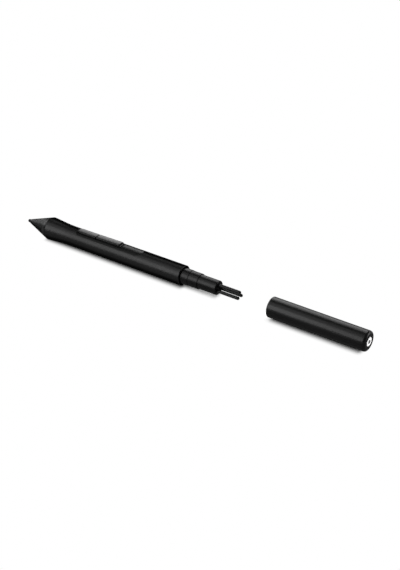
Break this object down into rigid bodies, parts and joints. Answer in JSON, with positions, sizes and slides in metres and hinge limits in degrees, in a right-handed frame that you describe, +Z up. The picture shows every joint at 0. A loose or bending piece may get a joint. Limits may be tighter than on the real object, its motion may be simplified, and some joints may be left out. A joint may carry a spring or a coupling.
{
  "type": "digital pen",
  "caption": "Round digital pen for a pen tablet, laid open: flared grip with side keys, stepped rear holder with spare nibs, and a slip-on rear cap.",
  "frame": {"origin": "middle of the laid-out length, on the surface that the grip's ridge lies on, under the pen's axis", "axes": "+X along the pen's axis from the nib towards the cap's closed end, +Z up with the side keys on top, +Y across the pen"},
  "size_m": [0.2034, 0.0122, 0.0122],
  "materials": {
    "soft_touch": "matt soft-touch coating over moulded plastic",
    "satin_black": "satin moulded plastic",
    "key_black": "satin moulded plastic",
    "nib_black": "smooth acetal",
    "switch_plunger": "moulded actuator",
    "switch_body": "moulded switch body",
    "damper_rubber": "soft rubber",
    "ferrite": "sintered ferrite",
    "copper": "enamelled copper wire",
    "frame_plastic": "moulded plastic",
    "spring_steel": "spring steel",
    "element": "sensor stack",
    "board": "glass-fibre board",
    "chip": "moulded chip",
    "capacitor": "ceramic component",
    "disc_pale": "pale smooth disc"
  },
  "bodies": {
    "pen_body": {"nose_cone": "satin_black", "barrel": "soft_touch", "switch_bezel": "satin_black", "tact_switches": "switch_body", "front_damper": "damper_rubber", "ferrite_core": "ferrite", "coil_winding": "copper", "coil_leads": "copper", "pressure_spring": "spring_steel", "sensor_case": "frame_plastic", "pressure_element": "element", "inner_frame": "frame_plastic", "circuit_board": "board", "main_chip": "chip", "capacitors": "capacitor", "trimmer": "capacitor", "nib_holder": "satin_black"},
    "tip_plunger": {"nib_socket": "frame_plastic"},
    "nib": {"nib": "nib_black"},
    "front_key": {"front_key": "key_black", "front_switch_plunger": "switch_plunger"},
    "rear_key": {"rear_key": "key_black", "rear_switch_plunger": "switch_plunger"},
    "cap": {"cap_tube": "satin_black", "cap_grip_sleeve": "frame_plastic", "cap_end_plug": "frame_plastic", "cap_end_disc": "disc_pale", "nib_puller_ring": "spring_steel"},
    "spare_nib_1": {"spare_nib_1": "nib_black"},
    "spare_nib_2": {"spare_nib_2": "nib_black"},
    "spare_nib_3": {"spare_nib_3": "nib_black"}
  },
  "joints": [
    {"name": "tip_press", "type": "slide", "parent": "pen_body", "child": "tip_plunger", "axis": [1, 0, 0], "range_m": [0, 0.0004], "stiffness_N_per_m": 5000, "deforming": ["pressure_spring"]},
    {"name": "nib_pull", "type": "slide", "parent": "tip_plunger", "child": "nib", "axis": [1, 0, 0], "range_m": [-0.0254, 0]},
    {"name": "front_key_press", "type": "slide", "parent": "pen_body", "child": "front_key", "axis": [0, 0, 1], "range_m": [-0.0003, 0], "stiffness_N_per_m": 4000},
    {"name": "rear_key_press", "type": "slide", "parent": "pen_body", "child": "rear_key", "axis": [0, 0, 1], "range_m": [-0.0003, 0], "stiffness_N_per_m": 4000},
    {"name": "cap_slide", "type": "slide", "parent": "pen_body", "child": "cap", "axis": [1, 0, 0], "range_m": [-0.0502, 0]},
    {"name": "spare_nib_1_pull", "type": "slide", "parent": "pen_body", "child": "spare_nib_1", "axis": [1, 0, 0], "range_m": [0, 0.0127]},
    {"name": "spare_nib_2_pull", "type": "slide", "parent": "pen_body", "child": "spare_nib_2", "axis": [1, 0, 0], "range_m": [0, 0.0127]},
    {"name": "spare_nib_3_pull", "type": "slide", "parent": "pen_body", "child": "spare_nib_3", "axis": [1, 0, 0], "range_m": [0, 0.0127]}
  ]
}
